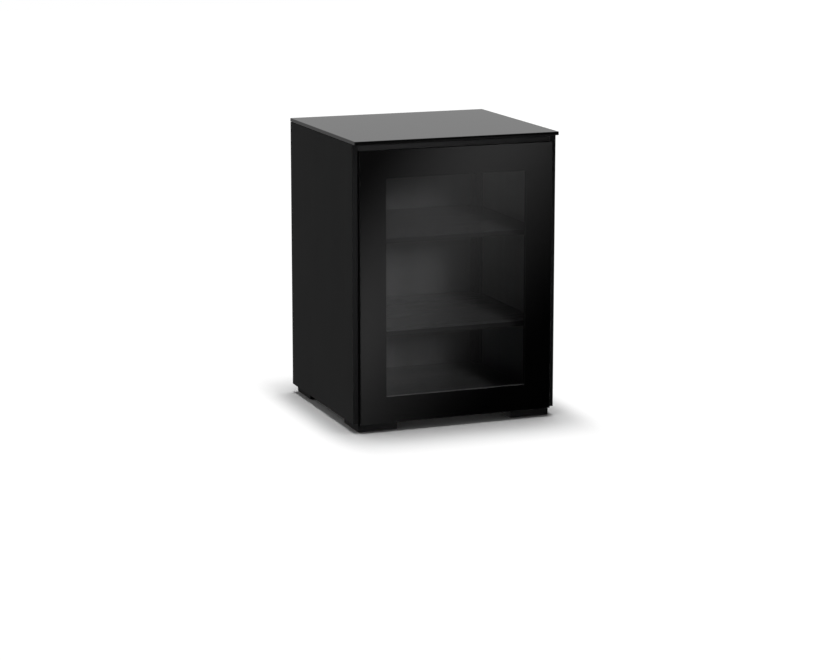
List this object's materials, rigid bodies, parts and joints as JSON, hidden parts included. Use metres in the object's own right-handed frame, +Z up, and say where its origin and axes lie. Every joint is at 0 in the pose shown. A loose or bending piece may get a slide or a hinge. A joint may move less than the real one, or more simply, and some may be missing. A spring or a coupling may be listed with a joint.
{
  "type": "media cabinet",
  "caption": "Media cabinet on block feet, with adjustable shelves behind a framed tinted glass door, cable outlets in the back and a black glass top.",
  "frame": {"origin": "on the floor, under the middle of the glass top", "axes": "+Z up, the door faces -Y, +X to the right seen from the front"},
  "size_m": [0.6, 0.553, 0.81],
  "materials": {
    "black_board": "matte black laminate",
    "back_board": "matte black hardboard",
    "foot_board": "matte black lacquer",
    "door_frame_board": "satin black lacquer",
    "post_metal": "black anodised",
    "felt_pad": "dense felt",
    "zinc_steel": "zinc plated",
    "nickel_steel": "nickel plated",
    "zinc_casting": "bare casting",
    "black_steel": "black zinc",
    "hinge_steel": "black enamel",
    "hinge_screw_steel": "black enamel",
    "magnet_steel": "nickel plated",
    "beech": "bare beech",
    "clear_rubber": "clear silicone",
    "black_plastic": "moulded",
    "latch_plastic": "moulded",
    "black_glass": "polished black glass",
    "tinted_glass": "polished grey tinted glass"
  },
  "bodies": {
    "cabinet": {"back_panel": "back_board", "back_screws": "black_steel", "base_panel": "black_board", "cable_grommets": "black_plastic", "cam_bolts": "zinc_steel", "cam_locks": "zinc_casting", "dowels": "beech", "foot_front_left": "foot_board", "foot_front_right": "foot_board", "foot_pads": "felt_pad", "foot_rear_left": "foot_board", "foot_rear_right": "foot_board", "foot_screws": "zinc_steel", "glass_discs": "clear_rubber", "glass_top": "black_glass", "hinge_leaves_cabinet": "hinge_steel", "hinge_pins": "hinge_steel", "hinge_screws_cabinet": "hinge_screw_steel", "latch_housing": "black_plastic", "latch_screws": "black_steel", "post_left": "post_metal", "post_right": "post_metal", "post_screws": "black_steel", "shelf_lower": "black_board", "shelf_pins": "nickel_steel", "shelf_upper": "black_board", "side_left": "black_board", "side_right": "black_board", "top_panel": "black_board"},
    "door": {"door_stile_left": "door_frame_board", "door_stile_right": "door_frame_board", "door_rail_top": "door_frame_board", "door_rail_bottom": "door_frame_board", "door_glass": "tinted_glass", "door_stops": "clear_rubber", "hinge_leaves_door": "hinge_steel", "hinge_screws_door": "hinge_screw_steel", "strike_plate": "nickel_steel", "strike_screws": "hinge_screw_steel"},
    "latch": {"latch_plunger": "latch_plastic", "latch_magnet": "magnet_steel"}
  },
  "joints": [
    {"name": "door_hinge", "type": "hinge", "parent": "cabinet", "child": "door", "pos_m": [0.2828, -0.2545, 0.4035], "axis": [0, 0, 1], "range_deg": [0, 95]},
    {"name": "latch_press", "type": "slide", "parent": "cabinet", "child": "latch", "axis": [0, 1, 0], "range_m": [0, 0.003], "stiffness_N_per_m": 200, "springref_m": -0.002}
  ]
}
